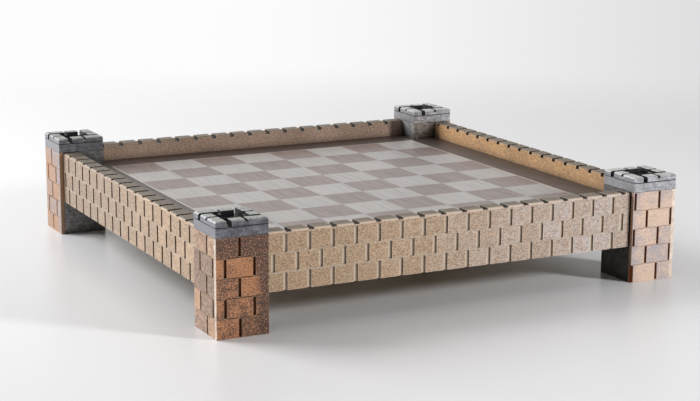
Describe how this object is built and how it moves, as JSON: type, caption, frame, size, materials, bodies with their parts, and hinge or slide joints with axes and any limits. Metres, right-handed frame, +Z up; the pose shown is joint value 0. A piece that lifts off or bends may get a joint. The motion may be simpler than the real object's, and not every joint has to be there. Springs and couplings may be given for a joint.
{
  "type": "chessboard",
  "caption": "Wooden chessboard shaped as a castle: brick-patterned walls round a sunken checkered field, with a crenellated square tower at each corner.",
  "frame": {"origin": "centre of the footprint, on the surface that the towers stand on", "axes": "+Z up, +X along the front wall to the right, +Y from the front wall to the back wall"},
  "size_m": [0.42, 0.42, 0.0905],
  "materials": {
    "brick_wood": "matte oiled wood with sawn brick slots",
    "brick_plate_wood": "matte stained thin wood, scorched towards purple brown",
    "post_wood": "black stain, matte",
    "cap_wood": "grey stain with worn light edges",
    "plywood": "raw plywood",
    "light_veneer": "pale grey veneer under satin lacquer",
    "dark_veneer": "lilac brown veneer under satin lacquer",
    "inlay_wood": "light stringing under satin lacquer",
    "border_veneer": "dark brown veneer under satin lacquer",
    "cleat_wood": "raw softwood",
    "screw_steel": "zinc plated",
    "dowel_wood": "raw beech"
  },
  "bodies": {
    "root": {"wall_front": "brick_wood", "wall_right": "brick_wood", "wall_back": "brick_wood", "wall_left": "brick_wood", "post_front_left": "post_wood", "wide_brick_plate_front_left": "brick_plate_wood", "narrow_brick_plate_front_left": "brick_plate_wood", "cap_slab_front_left": "cap_wood", "parapet_bar_front_left_front": "cap_wood", "parapet_bar_front_left_right": "cap_wood", "parapet_bar_front_left_back": "cap_wood", "parapet_bar_front_left_left": "cap_wood", "post_front_right": "post_wood", "wide_brick_plate_front_right": "brick_plate_wood", "narrow_brick_plate_front_right": "brick_plate_wood", "cap_slab_front_right": "cap_wood", "parapet_bar_front_right_front": "cap_wood", "parapet_bar_front_right_right": "cap_wood", "parapet_bar_front_right_back": "cap_wood", "parapet_bar_front_right_left": "cap_wood", "post_back_right": "post_wood", "wide_brick_plate_back_right": "brick_plate_wood", "narrow_brick_plate_back_right": "brick_plate_wood", "cap_slab_back_right": "cap_wood", "parapet_bar_back_right_front": "cap_wood", "parapet_bar_back_right_right": "cap_wood", "parapet_bar_back_right_back": "cap_wood", "parapet_bar_back_right_left": "cap_wood", "post_back_left": "post_wood", "wide_brick_plate_back_left": "brick_plate_wood", "narrow_brick_plate_back_left": "brick_plate_wood", "cap_slab_back_left": "cap_wood", "parapet_bar_back_left_front": "cap_wood", "parapet_bar_back_left_right": "cap_wood", "parapet_bar_back_left_back": "cap_wood", "parapet_bar_back_left_left": "cap_wood", "panel_core": "plywood", "light_squares": "light_veneer", "dark_squares": "dark_veneer", "inlay_line_front": "inlay_wood", "border_front": "border_veneer", "cleat_front": "cleat_wood", "inlay_line_right": "inlay_wood", "border_right": "border_veneer", "cleat_right": "cleat_wood", "inlay_line_back": "inlay_wood", "border_back": "border_veneer", "cleat_back": "cleat_wood", "inlay_line_left": "inlay_wood", "border_left": "border_veneer", "cleat_left": "cleat_wood", "cleat_screws": "screw_steel", "panel_screws": "screw_steel", "wall_dowels": "dowel_wood"}
  },
  "joints": []
}
